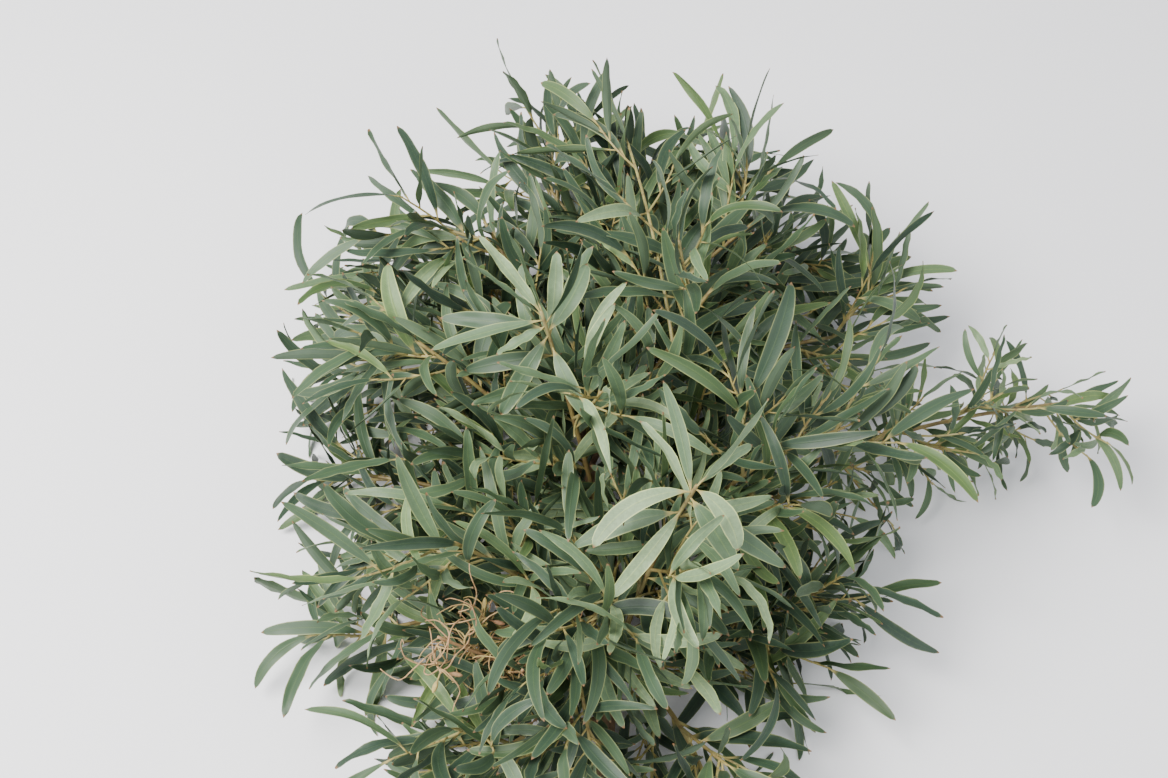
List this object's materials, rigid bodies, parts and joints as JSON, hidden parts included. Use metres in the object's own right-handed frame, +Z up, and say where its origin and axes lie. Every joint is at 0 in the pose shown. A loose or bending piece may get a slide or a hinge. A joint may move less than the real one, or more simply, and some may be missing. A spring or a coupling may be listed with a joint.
{
  "type": "eucalyptus branch",
  "caption": "Cut leafy eucalyptus branch lying on a surface: woody stem, spreading side shoots with narrow sickle-shaped leaves, and a tuft of dried flower stalks.",
  "frame": {"origin": "middle of the underside of the whole branch's box, on the surface that it lies on", "axes": "+Y from the stem's cut end towards the leader's tip, +X towards the side that the long shoot reaches to, +Z up"},
  "size_m": [0.5988, 0.6028, 0.2542],
  "materials": {
    "bark": "matte",
    "foliage": "satin",
    "dried_stalks": "matte"
  },
  "bodies": {
    "root": {"main_stem": "bark", "front_spray": "foliage", "second_spray": "foliage", "reaching_shoot": "foliage", "leader": "foliage", "shoot_01": "foliage", "shoot_02": "foliage", "shoot_03": "foliage", "shoot_04": "foliage", "shoot_05": "foliage", "shoot_06": "foliage", "shoot_07": "foliage", "shoot_08": "foliage", "shoot_09": "foliage", "shoot_10": "foliage", "shoot_11": "foliage", "shoot_12": "foliage", "shoot_13": "foliage", "shoot_14": "foliage", "shoot_15": "foliage", "shoot_16": "foliage", "shoot_17": "foliage", "flower_tuft": "dried_stalks"}
  },
  "joints": []
}
